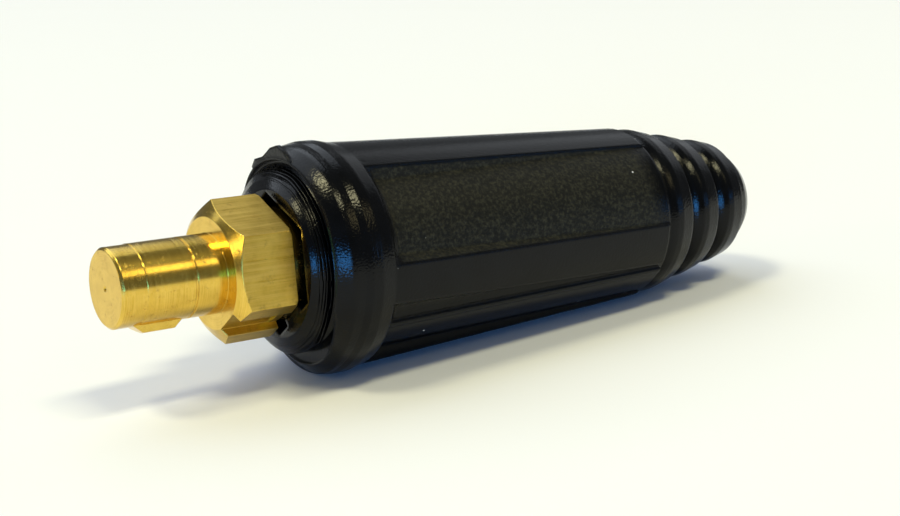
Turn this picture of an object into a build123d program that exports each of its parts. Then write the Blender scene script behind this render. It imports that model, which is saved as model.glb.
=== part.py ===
"""Male cable connector: a brass bayonet contact held in a moulded rubber sleeve.

Millimetres. The origin is the centre of the hexagon's front shoulder, where the pin
starts. +X runs along the contact towards the cable, +Z is up, and the sleeve lies on
its side. Angles are taken round the X axis from +Y towards +Z.
"""

from build123d import *
import os
from math import cos, radians, sin, tan

# Contact pin
pin_radius = 4.5
pin_length = 12.3
pin_edge_chamfer = 0.28
centre_mark_radius = 0.35
centre_mark_depth = 0.3
pin_groove_from_shoulder = 3.8
pin_groove_width = 0.3
pin_groove_depth = 0.12
lead_length = 2.9
lead_step = 0.06

# Bayonet lug under the pin
lug_angle = 265.0
lug_width = 3.4
lug_outer_radius = 5.28
lug_foot_front = 9.75
lug_top_front = 8.8
lug_top_rear = 5.7
lug_foot_rear = 4.9
lug_root = 0.6

# Hexagon
hex_across_flats = 14.0
hex_length = 6.9
hex_corner_angle = 21.3
hex_shoulder_radius = 6.3
hex_chamfer_angle = 32.0
hex_rear_chamfer = 0.25

# Coding slot milled along one flat
key_slot_angle = 231.3
key_slot_width = 3.7
key_slot_depth = 0.96
slot_block_height = 4.0

# Barrel that takes the conductor
barrel_radius = 6.4
barrel_length = 28.0
barrel_end_chamfer = 0.5
cable_socket_radius = 4.3
cable_socket_depth = 21.0
drill_point_angle = 59.0

# Clamp screw
screw_angle = 111.3
screw_from_hexagon = 17.0
screw_radius = 3.0
screw_length = 5.0
screw_sunk = 0.85
screw_hole_clearance = 0.08
screw_point_chamfer = 0.6
screw_top_chamfer = 0.3
socket_across_flats = 3.0
socket_depth = 2.4

# Sleeve position and inside
contact_pulled_out = 1.1
recess_clearance = 0.08
recess_depth = 7.0
key_clearance = 0.09
barrel_clearance = 0.09
barrel_end_gap = 0.5
cable_hole_radius = 5.3
cable_hole_cone = 1.5

# Sleeve outside: rolled lip, seam, nose, bead and collar, placed from the mouth
lip_inner_radius = 8.6
lip_front_radius = 9.6
lip_shoulder_radius = 10.5
lip_outer_radius = 11.0
lip_front_place = 0.2
lip_shoulder_place = 0.7
lip_length = 1.5
seam_depth = 0.4
nose_start = 1.05
nose_radius = 11.75
bead_start = 1.7
bead_start_radius = 12.35
bead_shoulder = 2.6
bead_shoulder_radius = 13.0
bead_end = 3.8
bead_end_radius = 13.22
collar_front = 4.9
collar_rear = 6.2
collar_radius = 13.42
collar_end = 8.1
body_front_radius = 13.0
body_rear_radius = 10.95
body_end = 50.8
body_end_round = 0.5

# Tail rings, each a rounded band that narrows towards the cable
ring_count = 3
ring_pitch = 5.5
ring_gap = 0.6
ring_gap_depth = 2.3
ring_crest_radius = 10.6
ring_crest_step = 1.15
ring_crest_place = 1.3
ring_crest_width = 0.9
first_ring_front_drop = 0.35
ring_front_drop = 0.95
ring_rear_drop = 1.0
ring_round = 0.65
tail_end_length = 2.3
tail_end_wall = 0.4

# Sunken panels, both repeated half a turn away and running out at the tail
wide_panel = {"front": (125.0, 170.0), "rear": (119.5, 177.5)}
slant_panel = {"front": (199.5, 240.0), "rear": (208.0, 241.0)}
panel_start_depth = 0.5
panel_start_slope = 1.3
panel_front_depth = 1.3
panel_rear_depth = 0.3
panel_wall_lean = 5.0
panel_reach_out = 4.5
panel_reach_in = 1.0

# Mould line left standing along the slanted panel
mould_line_angle = 212.3
mould_line_width = 0.7
mould_line_height = 0.35
mould_line_root = 0.5

# Nose worn away on the side turned from the eye, by two cones set off the axis. Their
# first radius is worn_lead ahead of the mouth.
worn_offset = 1.22
worn_side = 313.0
worn_lead = 1.0
worn_front_radius = 10.17
worn_knee = 2.5
worn_knee_radius = 12.27
worn_end = 4.0
worn_end_radius = 14.07

# Crescent slit torn open between the lip and the nose, left by two crossing circles
slit_outer_radius = 11.9
slit_inner_radius = 13.75
slit_offset = 3.35
slit_middle = 260.0
slit_depth = 3.3

# Ragged flash standing on the nose: radius and angle of each point of its edge
flash_start = 1.2
flash_thickness = 0.45
flash_root_radius = 11.77
flash_edge = [
    (12.0, 57), (12.5, 62), (12.25, 71), (12.6, 76), (13.0, 80), (13.3, 87), (12.9, 93), (12.1, 101),
]

# Where the floor has pressed the lying sleeve flat
rest_depth = 0.2

# Derived sizes
hex_corner_radius = hex_across_flats / 2 / cos(radians(30))
mouth = hex_length + contact_pulled_out
recess_end = mouth + recess_depth
barrel_end = hex_length + barrel_length
bore_radius = barrel_radius + barrel_clearance
bore_end = barrel_end + recess_end - hex_length + barrel_end_gap
shoulder = mouth + body_end
ring_length = ring_pitch - ring_gap
tail_end = shoulder + (ring_count - 1) * ring_pitch + ring_length + tail_end_length


def around_x(radius, angle):
    """The Y and Z of a point at this radius and angle."""
    return radius * cos(radians(angle)), radius * sin(radians(angle))


def turn(profile):
    """A solid of revolution about X from an outline in the XY plane."""
    return revolve(make_face(profile), axis=Axis.X)


def turned(points):
    """A solid of revolution whose outline has straight sides only."""
    return turn(Polyline(*points, close=True))


def radial_plane(x, angle):
    """A plane at x whose normal points outwards at this angle, with its X along the part."""
    return Plane(origin=(x, 0, 0), x_dir=(1, 0, 0), z_dir=(0, *around_x(1, angle)))


def hexagon(across_flats, start, length):
    """A hexagonal prism along X."""
    plane = Plane(origin=(start, 0, 0), x_dir=(0, 1, 0), z_dir=(1, 0, 0))
    corner_radius = across_flats / 2 / cos(radians(30))
    outline = RegularPolygon(corner_radius, 6, rotation=hex_corner_angle)
    return extrude(plane * outline, length)


def pin():
    """The round pin with its chamfered tip, centre mark, finer lead and turned groove."""
    groove_start = -pin_groove_from_shoulder
    groove_end = groove_start + pin_groove_width
    groove_radius = pin_radius - pin_groove_depth
    tip = -pin_length
    lead_radius = pin_radius - lead_step
    return turned([
        (tip + centre_mark_depth, 0),
        (tip, centre_mark_radius),
        (tip, lead_radius - pin_edge_chamfer),
        (tip + pin_edge_chamfer, lead_radius),
        (tip + lead_length, lead_radius),
        (tip + lead_length, pin_radius),
        (groove_start, pin_radius),
        (groove_start, groove_radius),
        (groove_end, groove_radius),
        (groove_end, pin_radius),
        (1, pin_radius),
        (1, 0),
    ])


def lug():
    """The bayonet lug: a low block with a ramp at each end and a rounded crown."""
    foot = pin_radius - lug_root
    ramp = (lug_foot_front - lug_top_front) * lug_root / (lug_outer_radius - pin_radius)
    outline = Polyline(
        (-lug_foot_front - ramp, foot),
        (-lug_top_front, lug_outer_radius),
        (-lug_top_rear, lug_outer_radius),
        (-lug_foot_rear + ramp, foot),
        close=True,
    )
    plane = Plane(origin=(0, 0, 0), x_dir=(1, 0, 0), z_dir=(0, *around_x(1, lug_angle + 90)))
    block = extrude(plane * make_face(outline), lug_width / 2, both=True)
    crown = Rot(0, 90, 0) * Cylinder(lug_outer_radius, 4 * pin_length)
    return block & crown


def hex_head():
    """The hexagon, turned to a cone at its front and milled with the coding slot."""
    prism = hexagon(hex_across_flats, 0, hex_length)
    cone_length = (hex_corner_radius - hex_shoulder_radius) * tan(radians(hex_chamfer_angle))
    rear = hex_length - hex_rear_chamfer
    turned_blank = turned([
        (0, 0),
        (0, hex_shoulder_radius),
        (cone_length, hex_corner_radius),
        (rear, hex_corner_radius),
        (hex_length, hex_corner_radius - hex_rear_chamfer),
        (hex_length, 0),
    ])
    slot_floor = hex_across_flats / 2 - key_slot_depth
    centre = slot_floor + slot_block_height / 2
    slot = radial_plane(hex_length / 2, key_slot_angle) * Pos(0, 0, centre) * Box(
        2 * hex_length, key_slot_width, slot_block_height
    )
    return (prism & turned_blank) - slot


def barrel():
    """The round barrel with its blind cable socket."""
    start = hex_length - 1
    blank = turned([
        (start, 0),
        (start, barrel_radius),
        (barrel_end - barrel_end_chamfer, barrel_radius),
        (barrel_end, barrel_radius - barrel_end_chamfer),
        (barrel_end, 0),
    ])
    floor = barrel_end - cable_socket_depth
    drill_point = cable_socket_radius / tan(radians(drill_point_angle))
    socket = turned([
        (floor - drill_point, 0),
        (floor, cable_socket_radius),
        (barrel_end + 1, cable_socket_radius),
        (barrel_end + 1, 0),
    ])
    return blank - socket


def contact_body():
    """The whole brass contact, with the clamp screw's hole through the barrel wall."""
    hole_radius = screw_radius + screw_hole_clearance
    screw_hole = radial_plane(screw_x(), screw_angle) * Pos(0, 0, barrel_radius) * Cylinder(
        hole_radius, 2 * barrel_radius
    )
    return pin() + lug() + hex_head() + (barrel() - screw_hole)


def screw_x():
    """Where the clamp screw's axis meets the contact's axis."""
    return hex_length + screw_from_hexagon


def clamp_screw():
    """The socket set screw, just below the barrel's surface."""
    blank = Cylinder(screw_radius, screw_length)
    blank = chamfer(blank.edges().sort_by(Axis.Z)[0], screw_point_chamfer)
    blank = chamfer(blank.edges().group_by(Axis.Z)[-1], screw_top_chamfer)
    socket_corner = socket_across_flats / 2 / cos(radians(30))
    top = Plane.XY.offset(screw_length / 2)
    blank -= extrude(top * RegularPolygon(socket_corner, 6), -socket_depth)
    centre = barrel_radius - screw_sunk - screw_length / 2
    return radial_plane(screw_x(), screw_angle) * Pos(0, 0, centre) * blank


def sleeve_blank():
    """The sleeve's turned outside from the lip to the end of the tapered body."""
    outline = [
        (0, lip_inner_radius),
        (lip_front_place, lip_front_radius),
        (lip_shoulder_place, lip_shoulder_radius),
        (lip_length, lip_outer_radius),
        (lip_length + seam_depth, lip_outer_radius + seam_depth),
        (nose_start, nose_radius),
        (bead_start, bead_start_radius),
        (bead_shoulder, bead_shoulder_radius),
        (bead_end, bead_end_radius),
        (collar_front, collar_radius),
        (collar_rear, collar_radius),
        (collar_end, body_front_radius),
        (body_end - body_end_round, body_rear_radius),
        (body_end, body_rear_radius - body_end_round),
        (body_end, 0),
        (0, 0),
    ]
    return Pos(mouth, 0, 0) * turned(outline)


def tail_ring(index):
    """One tail ring, rounded over its crest and at its rear edge."""
    start = shoulder + index * ring_pitch
    crest_start = start + ring_crest_place
    crest_end = crest_start + ring_crest_width
    end = start + ring_length
    crest = ring_crest_radius - index * ring_crest_step
    front = crest - (ring_front_drop if index else first_ring_front_drop)
    rear = crest - ring_rear_drop
    return turned([
        (start, 0),
        (start, front),
        (start + ring_crest_place / 2, (front + 2 * crest) / 3),
        (crest_start, crest),
        (crest_end, crest),
        (end - ring_round, (rear + crest) / 2),
        (end, rear - ring_round / 2),
        (end, 0),
    ])


def tail():
    """The tail rings over their tapered core, closed by a rounded end."""
    last = ring_count - 1
    last_end = shoulder + last * ring_pitch + ring_length
    core_front = ring_crest_radius - ring_gap_depth + ring_crest_step
    core_rear = ring_crest_radius - ring_gap_depth - last * ring_crest_step
    cap_radius = ring_crest_radius - last * ring_crest_step - ring_rear_drop - ring_round / 2
    rim_radius = cable_hole_radius + tail_end_wall
    solid = turned([
        (shoulder - ring_gap, 0),
        (shoulder - ring_gap, core_front),
        (last_end, core_rear),
        (last_end, 0),
    ])
    for index in range(ring_count):
        solid += tail_ring(index)
    cap = turned([
        (last_end - 1, 0),
        (last_end - 1, cap_radius),
        (last_end, cap_radius),
        (tail_end - tail_end_length / 2, (cap_radius + rim_radius) / 2 + tail_end_wall / 2),
        (tail_end, rim_radius),
        (tail_end, 0),
    ])
    return solid + cap


def body_radius(x):
    """The tapered body's radius at x."""
    share = (x - mouth - collar_end) / (body_end - body_end_round - collar_end)
    return body_front_radius + share * (body_rear_radius - body_front_radius)


def panel_section(x, angles, depth):
    """One end of a panel cutter: a wedge whose sides lean open from the panel's floor."""
    floor_radius = body_radius(x) - depth
    lean = panel_wall_lean * depth / panel_front_depth
    low, high = angles
    corners = []
    for angle, side in ((low, -1), (high, 1)):
        floor_edge = Vector(*around_x(floor_radius, angle))
        wall = (Vector(*around_x(body_radius(x), angle + side * lean)) - floor_edge) / depth
        corners.append((floor_edge - wall * panel_reach_in, floor_edge + wall * panel_reach_out))
    (low_inside, low_outside), (high_inside, high_outside) = corners
    outline = Polyline(low_inside, low_outside, high_outside, high_inside, close=True)
    plane = Plane(origin=(x, 0, 0), x_dir=(0, 1, 0), z_dir=(1, 0, 0))
    return plane * make_face(outline)


def panel_floors():
    """The cones on which the panels bottom out: a short steep start, then a long run-out."""
    front_x = mouth + collar_end
    floor_x = front_x + panel_start_slope
    start_radius = body_radius(front_x) - panel_start_depth
    return turned([
        (front_x - 1, 0),
        (front_x - 1, start_radius),
        (front_x, start_radius),
        (floor_x, body_radius(floor_x) - panel_front_depth),
        (shoulder, body_radius(shoulder) - panel_rear_depth),
        (shoulder + 1, body_radius(shoulder) - panel_rear_depth),
        (shoulder + 1, 0),
    ])


def panel_cutter(panel):
    """The cutter for a sunken panel."""
    front = panel_section(mouth + collar_end, panel["front"], panel_front_depth)
    rear = panel_section(shoulder, panel["rear"], panel_rear_depth)
    return loft([front, rear], ruled=True) - panel_floors()


def mould_line():
    """The raised line along the slanted panel."""
    front_x = mouth + collar_end + panel_start_slope / 2
    rear_x = shoulder - body_end_round
    sections = []
    for x, depth in ((front_x, panel_front_depth), (rear_x, panel_rear_depth)):
        middle = body_radius(x) - depth + (mould_line_height - mould_line_root) / 2
        centre = (x, *around_x(middle, mould_line_angle))
        plane = Plane(origin=centre, x_dir=(0, *around_x(1, mould_line_angle)), z_dir=(1, 0, 0))
        sections.append(plane * Rectangle(mould_line_root + mould_line_height, mould_line_width))
    return loft(sections, ruled=True)


def sleeve_inside():
    """The hexagonal mouth with its key, the barrel bore and the cable hole."""
    recess = hexagon(hex_across_flats + 2 * recess_clearance, mouth - 1, recess_depth + 1)
    key_width = key_slot_width - 2 * key_clearance
    key_top = hex_across_flats / 2 - key_slot_depth + key_clearance
    centre = key_top + slot_block_height / 2
    key = radial_plane(mouth + recess_depth / 2, key_slot_angle) * Pos(0, 0, centre) * Box(
        2 * recess_depth, key_width, slot_block_height
    )
    bore = turned([
        (mouth - 1, 0),
        (mouth - 1, bore_radius),
        (bore_end, bore_radius),
        (bore_end + cable_hole_cone, cable_hole_radius),
        (tail_end + 1, cable_hole_radius),
        (tail_end + 1, 0),
    ])
    return (recess - key) + bore


def worn_nose():
    """The cutter that takes the nose down more and more towards its worn side."""
    away = Pos(0, *around_x(-worn_offset, worn_side))
    return away * turned([
        (mouth - worn_lead, worn_front_radius),
        (mouth + worn_knee, worn_knee_radius),
        (mouth + worn_end, worn_end_radius),
        (mouth + worn_end, 2 * collar_radius),
        (mouth - worn_lead, 2 * collar_radius),
    ])


def torn_slit():
    """The crescent slit torn open between the lip and the nose."""
    start = Plane(origin=(mouth - 1, 0, 0), x_dir=(0, 1, 0), z_dir=(1, 0, 0))
    core = Pos(*around_x(-slit_offset, slit_middle)) * Circle(slit_inner_radius)
    return extrude(start * (Circle(slit_outer_radius) - core), slit_depth + 1)


def flash():
    """The thin ragged flash that stands on the nose."""
    first = flash_edge[0][1]
    last = flash_edge[-1][1]
    edge = [around_x(radius, angle) for radius, angle in flash_edge]
    start = around_x(flash_root_radius, first)
    end = around_x(flash_root_radius, last)
    root = ThreePointArc(end, around_x(flash_root_radius, (first + last) / 2), start)
    outline = [Polyline(start, *edge, end), root]
    plane = Plane(origin=(mouth + flash_start, 0, 0), x_dir=(0, 1, 0), z_dir=(1, 0, 0))
    return extrude(plane * make_face(outline), flash_thickness)


def rest_flat():
    """Everything below the floor that has pressed the lying sleeve flat."""
    collar_low = (mouth + collar_front, rest_depth - collar_radius)
    shoulder_low = (shoulder - body_end_round, rest_depth - body_rear_radius)
    slope = (shoulder_low[1] - collar_low[1]) / (shoulder_low[0] - collar_low[0])
    rear_x = tail_end + 1
    front_low = collar_low[1] - slope * collar_low[0]
    rear_low = collar_low[1] + slope * (rear_x - collar_low[0])
    below = Polyline(
        (0, front_low),
        (rear_x, rear_low),
        (rear_x, -2 * collar_radius),
        (0, -2 * collar_radius),
        close=True,
    )
    return extrude(Plane.XZ * make_face(below), collar_radius, both=True)


def insulating_sleeve():
    """The rubber sleeve, one moulding."""
    solid = sleeve_blank() - worn_nose() - torn_slit() + flash()
    solid += tail()
    half_turn = Rot(180, 0, 0)
    for panel in (wide_panel, slant_panel):
        cutter = panel_cutter(panel)
        solid = solid - cutter - half_turn * cutter
    line = mould_line()
    solid = solid + line + half_turn * line
    return solid - sleeve_inside() - rest_flat()


def write(name, shape):
    """Save one node as a single solid."""
    print(name, "solids", len(shape.solids()), "volume", round(shape.volume))
    export_step(shape, "parts/" + name + ".step")


os.makedirs("parts", exist_ok=True)
write("contact_body", contact_body())
write("clamp_screw", clamp_screw())
write("insulating_sleeve", insulating_sleeve())
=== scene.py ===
"""Looks, light and camera for the male cable connector.

Metres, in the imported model's frame: the origin is the centre of the hexagon's front
shoulder, +X runs towards the cable and +Z is up. Angles are degrees round the X axis
from +Y towards +Z.
"""

import math

import bpy
from mathutils import Matrix, Vector


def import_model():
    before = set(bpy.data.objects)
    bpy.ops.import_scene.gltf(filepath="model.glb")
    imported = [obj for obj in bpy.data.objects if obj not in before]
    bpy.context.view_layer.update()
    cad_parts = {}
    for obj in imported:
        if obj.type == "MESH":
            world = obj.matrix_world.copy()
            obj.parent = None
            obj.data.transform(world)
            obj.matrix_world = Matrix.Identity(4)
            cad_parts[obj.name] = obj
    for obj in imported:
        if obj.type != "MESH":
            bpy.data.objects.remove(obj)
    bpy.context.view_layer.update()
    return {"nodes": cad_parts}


MM = 0.001

# Camera, fitted to the photograph with the pin taken as 9 mm across. Its azimuth is the way
# it looks, in degrees from +X towards +Y.
CAMERA_TARGET = Vector((31.98, -0.70, -2.38)) * MM
CAMERA_DISTANCE = 202.6 * MM
CAMERA_AZIMUTH = 54.615
CAMERA_ELEVATION = 12.908
CAMERA_LENS = 67.14
CAMERA_NEAREST = 5.0 * MM
SENSOR_WIDTH = 36.0

# Where the sleeve touches the floor: under its collar and under its rear shoulder
COLLAR_CONTACT_X = 12.9 * MM
COLLAR_CONTACT_Z = -13.22 * MM
SHOULDER_CONTACT_X = 58.3 * MM
SHOULDER_CONTACT_Z = -10.75 * MM
FLOOR_GAP = 0.05 * MM
FLOOR_SIZE = 12.0

# The tapered body's skin, used to tell the sunken panels from the raised bands
BODY_FRONT_X = 16.1 * MM
BODY_FRONT_RADIUS = 13.0 * MM
BODY_REAR_X = 58.3 * MM
BODY_REAR_RADIUS = 10.95 * MM
PANEL_EDGE_DEPTH = 0.15 * MM
PANEL_FULL_DEPTH = 0.40 * MM
PANEL_START_RUN = 1.6 * MM
PANEL_END_RUN = 2.5 * MM

# Low on the sleeve the panels get no sand, which leaves them smoother and darker towards the bottom.
# Going up, their sand fades in between these two sines of the angle.
NO_SAND_SINE = -0.4
FULL_SAND_SINE = -0.3

# The lip round the sleeve's mouth, scored by rings that follow it outwards and back. A place
# on it is the sum of its X and its radius.
LIP_SCORED_FROM = 17.6 * MM
LIP_SCORED_TO = 20.35 * MM
LIP_SCORE_PITCH = 0.62 * MM
LIP_SCORE_DEPTH = 0.11 * MM

# The lip is shaded as a rounder roll, by a height that falls by LIP_ROLL on the way from
# LIP_ROLL_FROM to LIP_SCORED_TO. The mouth is left out: all within MOUTH_RADIUS, back to
# where MOUTH_SHARE of X is as much.
LIP_ROLL_FROM = 16.4 * MM
LIP_ROLL = 3.0 * MM
MOUTH_RADIUS = 8.2 * MM
MOUTH_SHARE = 0.6

# The shallow valley between the sleeve's bead and its collar
VALLEY_X = 12.05 * MM
VALLEY_HALF_WIDTH = 0.9 * MM
VALLEY_DEPTH = 0.10 * MM

# The rubber's fine relief, the softening of its edges and how strongly it reflects
SKIN_DEPTH = 0.03 * MM
SAND_DEPTH = 0.10 * MM
RUBBER_EDGE = 0.5 * MM
RUBBER_SPECULAR = 0.17

# The hexagon: where its flats run, and the cone that its front is turned to
HEX_LENGTH = 6.9 * MM
HEX_SHOULDER_RADIUS = 6.3 * MM
HEX_CONE_SLOPE = 1.6

# The brass's turned rings, which follow X and a share of the radius, and its milled lines
RING_RADIUS_SHARE = 1.3
RING_FINENESS = 7000.0
MILLED_FINENESS = (110.0, 4200.0, 4200.0)
LINE_DEPTH = 0.02 * MM
BRASS_EDGE = 0.12 * MM

# The clamp screw's thread and scratches
SCREW_ANGLE = 111.3
THREAD_PITCH = 1.0 * MM
THREAD_DEPTH = 0.25 * MM
SCRATCH_DEPTH = 0.02 * MM
STEEL_EDGE = 0.1 * MM

# Colours of the materials and the surround
BRASS_BRIGHT = (0.78, 0.52, 0.085, 1)
BRASS_DULL = (0.58, 0.36, 0.045, 1)
BRASS_CUT = (0.84, 0.58, 0.13, 1)
BRASS_STAINED = (0.30, 0.17, 0.04, 1)
STEEL_BRIGHT = (0.42, 0.42, 0.43, 1)
STEEL_DULL = (0.27, 0.27, 0.28, 1)
RUBBER_DEEP = (0.0010, 0.0011, 0.0013, 1)
RUBBER_PALE = (0.0022, 0.0024, 0.0028, 1)
SAND_DEEP = (0.005, 0.0052, 0.004, 1)
SAND_PALE = (0.034, 0.032, 0.019, 1)
DUST = (0.75, 0.74, 0.70, 1)
PAPER_BRIGHT = (0.88, 0.90, 0.97, 1)
PAPER_DULL = (0.86, 0.88, 0.95, 1)
SURROUND = (0.88, 0.94, 1, 1)
SURROUND_STRENGTH = 0.17

# Lamps: the ways a lamp's first side can run, and the colour of the two high warm ones
ALONG_X = (1.0, 0.0, 0.0)
ALONG_Y = (0.0, 1.0, 0.0)
WARM = (1.0, 0.93, 0.56)


class Graph:
    """A material's node tree with short calls to add and join nodes."""

    def __init__(self, name):
        self.material = bpy.data.materials.new(name)
        self.material.use_nodes = True
        self.tree = self.material.node_tree
        self.shader = self.tree.nodes["Principled BSDF"]
        self.position = self.add("ShaderNodeTexCoord").outputs["Object"]

    def add(self, kind, inputs=None, **settings):
        node = self.tree.nodes.new(kind)
        for key, value in settings.items():
            setattr(node, key, value)
        for key, value in (inputs or {}).items():
            self.feed(value, node.inputs[key])
        return node

    def feed(self, value, socket):
        if isinstance(value, bpy.types.NodeSocket):
            self.tree.links.new(value, socket)
        else:
            socket.default_value = value

    def math(self, operation, first, second=0.0):
        return self.add("ShaderNodeMath", {0: first, 1: second}, operation=operation).outputs[0]

    def product(self, first, *others):
        for other in others:
            first = self.math("MULTIPLY", first, other)
        return first

    def vector(self, x, y, z):
        return self.add("ShaderNodeCombineXYZ", {0: x, 1: y, 2: z}).outputs[0]

    def stretched(self, scale):
        """The position scaled by a different amount along each axis."""
        return self.add("ShaderNodeMapping", {"Vector": self.position, "Scale": scale}).outputs[0]

    def noise(self, scale, detail=4.0, roughness=0.55, vector=None):
        inputs = {"Scale": scale, "Detail": detail, "Roughness": roughness}
        inputs["Vector"] = vector or self.position
        return self.add("ShaderNodeTexNoise", inputs).outputs["Fac"]

    def ramp(self, value, low, high, start=0.0, end=1.0):
        inputs = {"Value": value, "From Min": low, "From Max": high}
        inputs.update({"To Min": start, "To Max": end})
        return self.add("ShaderNodeMapRange", inputs).outputs[0]

    def mix(self, factor, first, second):
        """One colour or the other, by factor."""
        node = self.add("ShaderNodeMix", {"Factor": factor}, data_type="RGBA")
        self.feed(first, node.inputs[6])
        self.feed(second, node.inputs[7])
        return node.outputs[2]

    def blend(self, factor, first, second):
        """One number or the other, by factor."""
        return self.add("ShaderNodeMix", {0: factor, 2: first, 3: second}).outputs[0]

    def bevel(self, radius):
        """The surface's normal with its edges softened."""
        return self.add("ShaderNodeBevel", {"Radius": radius}, samples=6).outputs[0]

    def bump(self, height, strength, distance, normal):
        inputs = {"Height": height, "Strength": strength, "Distance": distance, "Normal": normal}
        return self.add("ShaderNodeBump", inputs).outputs[0]

    def round_x(self):
        """The position's X, its distance from the X axis and its angle round it."""
        x, y, z = self.add("ShaderNodeSeparateXYZ", {0: self.position}).outputs
        squares = self.math("ADD", self.product(y, y), self.product(z, z))
        return x, self.math("SQRT", squares), self.math("ARCTAN2", z, y)

    def finish(self, **values):
        """Set the shader's inputs and give the material."""
        for key, value in values.items():
            self.feed(value, self.shader.inputs[key.replace("_", " ")])
        return self.material


def brass():
    """Yellow brass: turned rings, milled lines on the flats, uneven colour and brown stains."""
    g = Graph("brass_turned_and_milled")
    x, radius, angle = g.round_x()
    along_cut = g.math("ADD", x, g.product(radius, RING_RADIUS_SHARE))
    ring_place = g.vector(g.product(along_cut, RING_FINENESS), g.product(angle, 0.8), 0.0)
    rings = g.noise(1.0, 3.0, 0.7, ring_place)
    milled = g.noise(1.0, 3.0, 0.7, g.stretched(MILLED_FINENESS))
    cone_radius = g.math("ADD", g.product(x, HEX_CONE_SLOPE), HEX_SHOULDER_RADIUS)
    flats = g.product(
        g.ramp(x, 0.03 * MM, 0.08 * MM),
        g.ramp(x, HEX_LENGTH, HEX_LENGTH - 0.05 * MM),
        g.ramp(g.math("SUBTRACT", cone_radius, radius), 0.03 * MM, 0.10 * MM),
    )
    lines = g.blend(flats, rings, milled)
    cloud = g.noise(420.0, 6.0, 0.7)
    stain = g.ramp(g.noise(900.0, 6.0, 0.75), 0.57, 0.72)
    clean = g.mix(g.ramp(cloud, 0.35, 0.65), BRASS_BRIGHT, BRASS_DULL)
    turned = g.mix(g.ramp(lines, 0.35, 0.75), clean, BRASS_CUT)
    roughness = g.math("ADD", g.ramp(lines, 0.3, 0.7, 0.15, 0.25), g.product(flats, 0.12))
    return g.finish(
        Base_Color=g.mix(g.product(stain, 0.55), turned, BRASS_STAINED),
        Metallic=1.0,
        Roughness=g.math("ADD", roughness, g.product(stain, 0.2)),
        Normal=g.bump(lines, 0.40, LINE_DEPTH, g.bevel(BRASS_EDGE)),
    )


def steel():
    """Dark machined steel with a thread on its side and fine scratches."""
    g = Graph("steel_screw")
    turn = math.radians(SCREW_ANGLE)
    across = (0.0, math.cos(turn), math.sin(turn))
    height = g.add("ShaderNodeVectorMath", {0: g.position, 1: across}, operation="DOT_PRODUCT")
    thread = g.math("SINE", g.product(height.outputs["Value"], 2 * math.pi / THREAD_PITCH))
    cloud = g.noise(900.0, 4.0, 0.6)
    scratches = g.bump(g.noise(3500.0), 0.2, SCRATCH_DEPTH, g.bevel(STEEL_EDGE))
    return g.finish(
        Base_Color=g.mix(g.ramp(cloud, 0.3, 0.7), STEEL_BRIGHT, STEEL_DULL),
        Metallic=1.0,
        Roughness=g.ramp(cloud, 0.3, 0.7, 0.3, 0.45),
        Normal=g.bump(thread, 0.6, THREAD_DEPTH, scratches),
    )


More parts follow.
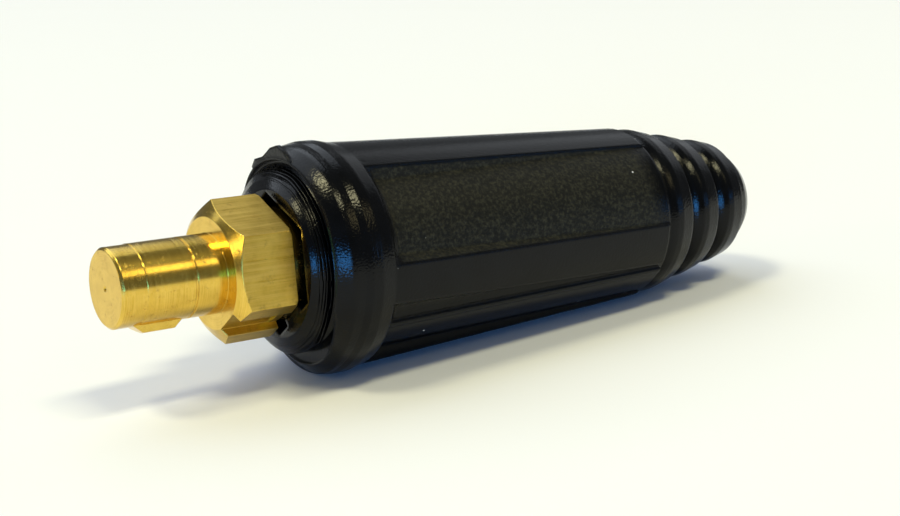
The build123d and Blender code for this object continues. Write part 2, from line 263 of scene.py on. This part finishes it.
def rubber():
    """Black moulded rubber: smooth skin, sand in the upper panels, a scored lip and dust."""
    g = Graph("black_rubber")
    x, radius, angle = g.round_x()
    skin = g.ramp(x, BODY_FRONT_X, BODY_REAR_X, BODY_FRONT_RADIUS, BODY_REAR_RADIUS)
    panel = g.product(
        g.ramp(g.math("SINE", angle), NO_SAND_SINE, FULL_SAND_SINE),
        g.ramp(g.math("SUBTRACT", skin, radius), PANEL_EDGE_DEPTH, PANEL_FULL_DEPTH),
        g.ramp(x, BODY_FRONT_X + PANEL_START_RUN / 2, BODY_FRONT_X + PANEL_START_RUN),
        g.ramp(x, BODY_REAR_X, BODY_REAR_X - PANEL_END_RUN),
    )
    along_lip = g.math("ADD", x, radius)
    lip = g.product(
        g.ramp(along_lip, LIP_SCORED_FROM, LIP_SCORED_FROM + 0.4 * MM),
        g.ramp(along_lip, LIP_SCORED_TO, LIP_SCORED_TO - 0.2 * MM),
    )
    grain = g.noise(2400.0, 4.0, 0.7)
    soft = g.noise(380.0, 4.0, 0.5)
    wander = g.noise(1.0, 2.0, 0.5, g.vector(g.product(angle, 1.4), g.product(along_lip, 900.0), 0.0))
    turns = g.math("ADD", g.product(along_lip, 1 / LIP_SCORE_PITCH), g.product(wander, 1.8))
    scored = g.math("POWER", g.math("ABSOLUTE", g.math("SINE", g.product(turns, math.pi))), 0.45)
    valley = g.ramp(g.math("ABSOLUTE", g.math("SUBTRACT", x, VALLEY_X)), 0.0, VALLEY_HALF_WIDTH)
    outside = g.math("MAXIMUM", radius, g.product(x, MOUTH_SHARE))
    rolled = g.product(
        g.ramp(outside, MOUTH_RADIUS, MOUTH_RADIUS + 0.2 * MM),
        g.ramp(along_lip, LIP_ROLL_FROM, LIP_SCORED_TO, 0.0, -1.0),
    )
    specks = g.add("ShaderNodeTexVoronoi", {"Vector": g.position, "Scale": 420.0}).outputs
    rare = g.ramp(g.add("ShaderNodeSeparateColor", {0: specks["Color"]}).outputs[0], 0.74, 0.75)
    dust = g.product(rare, g.ramp(specks["Distance"], 0.06, 0.04))
    black = g.mix(g.ramp(soft, 0.35, 0.7), RUBBER_DEEP, RUBBER_PALE)
    sandy = g.mix(g.ramp(grain, 0.45, 0.68), SAND_DEEP, SAND_PALE)
    rolled_bump = g.bump(rolled, 1.0, LIP_ROLL, g.bevel(RUBBER_EDGE))
    valley_bump = g.bump(valley, 1.0, VALLEY_DEPTH, rolled_bump)
    skin_bump = g.bump(g.noise(4000.0, 1.0, 0.5), 1.0, SKIN_DEPTH, valley_bump)
    scored_bump = g.bump(g.product(scored, lip), 0.8, LIP_SCORE_DEPTH, skin_bump)
    plain_roughness = g.ramp(soft, 0.3, 0.7, 0.13, 0.20)
    g.shader.inputs["Specular IOR Level"].default_value = RUBBER_SPECULAR
    return g.finish(
        Base_Color=g.mix(dust, g.mix(panel, black, sandy), DUST),
        Roughness=g.math("ADD", plain_roughness, g.product(panel, 0.28)),
        Normal=g.bump(g.product(grain, panel), 0.8, SAND_DEPTH, scored_bump),
    )


def dress(node, material):
    """Give a CAD node one material."""
    data = frame["nodes"][node].data
    data.materials.clear()
    data.materials.append(material)


def floor_slope():
    """How steeply the floor under the lying sleeve runs up towards its tail."""
    rise = SHOULDER_CONTACT_Z - COLLAR_CONTACT_Z
    return math.atan2(rise, SHOULDER_CONTACT_X - COLLAR_CONTACT_X)


def floor():
    """A plain pale floor under the lying sleeve."""
    mesh = bpy.data.meshes.new("floor")
    half = FLOOR_SIZE / 2
    corners = [(-half, -half, 0), (half, -half, 0), (half, half, 0), (-half, half, 0)]
    mesh.from_pydata(corners, [], [(0, 1, 2, 3)])
    plane = bpy.data.objects.new("floor", mesh)
    bpy.context.scene.collection.objects.link(plane)
    plane.location = (COLLAR_CONTACT_X, 0, COLLAR_CONTACT_Z - FLOOR_GAP)
    plane.rotation_euler = (0, -floor_slope(), 0)
    g = Graph("floor_white")
    paper = g.mix(g.noise(3.0), PAPER_BRIGHT, PAPER_DULL)
    mesh.materials.append(g.finish(Base_Color=paper, Roughness=0.85))


def world():
    """A weak, even and slightly blue surround."""
    surround = bpy.data.worlds.new("studio")
    surround.use_nodes = True
    background = surround.node_tree.nodes["Background"]
    background.inputs["Color"].default_value = SURROUND
    background.inputs["Strength"].default_value = SURROUND_STRENGTH
    bpy.context.scene.world = surround


def lamp(name, place, along, size, watts, colour):
    """A rectangular soft light aimed at the connector, its first side nearest to along."""
    data = bpy.data.lights.new(name, "AREA")
    data.shape = "RECTANGLE"
    data.size, data.size_y = size
    data.energy = watts
    data.color = colour
    light = bpy.data.objects.new(name, data)
    bpy.context.scene.collection.objects.link(light)
    light.location = place
    away = (Vector(place) - CAMERA_TARGET).normalized()
    side = (Vector(along) - away * away.dot(Vector(along))).normalized()
    light.rotation_euler = Matrix((side, away.cross(side), away)).transposed().to_euler()


def camera():
    """The photograph's viewpoint."""
    data = bpy.data.cameras.new("camera")
    data.lens = CAMERA_LENS
    data.sensor_width = SENSOR_WIDTH
    data.clip_start = CAMERA_NEAREST
    eye = bpy.data.objects.new("camera", data)
    bpy.context.scene.collection.objects.link(eye)
    azimuth, elevation = math.radians(CAMERA_AZIMUTH), math.radians(CAMERA_ELEVATION)
    level = math.cos(elevation)
    back = (-level * math.cos(azimuth), -level * math.sin(azimuth), math.sin(elevation))
    eye.location = CAMERA_TARGET + CAMERA_DISTANCE * Vector(back)
    eye.rotation_euler = (math.pi / 2 - elevation, 0, azimuth - math.pi / 2)
    bpy.context.scene.camera = eye


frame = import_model()
bpy.context.scene.view_settings.view_transform = "Standard"

camera()
dress("contact_body", brass())
dress("clamp_screw", steel())
dress("insulating_sleeve", rubber())
floor()
world()

# Lamps, each with its place, first side, size, watts and colour. The windows are blue, as
# the reflections on the lip and the bead are.
lamp("overhead", (0.1, -1.3, 2.8), ALONG_X, (1.2, 0.45), 42.0, WARM)
lamp("tube", (1.4, -1.95, 2.1), ALONG_Y, (0.9, 0.45), 4.5, (1.0, 0.84, 0.42))
lamp("high_left", (-1.3, 0.2, 2.6), ALONG_Y, (0.6, 0.5), 28.0, WARM)
lamp("low_left", (-2.8, 0.45, 0.85), ALONG_Y, (0.6, 0.6), 5.0, (1.0, 0.85, 0.42))
lamp("window", (-2.2, -2.1, 0.15), ALONG_X, (1.2, 0.7), 52.0, (0.07, 0.38, 1.0))
lamp("side_window", (2.0, -2.2, 0.45), ALONG_X, (0.3, 0.6), 2.2, (0.10, 0.40, 1.0))
lamp("key", (-0.4, 2.0, 2.65), ALONG_X, (4.0, 2.9), 60.0, (0.82, 0.90, 1.0))
lamp("right", (2.6, 1.15, 1.65), ALONG_Y, (2.2, 2.0), 7.0, (0.90, 0.95, 1.0))
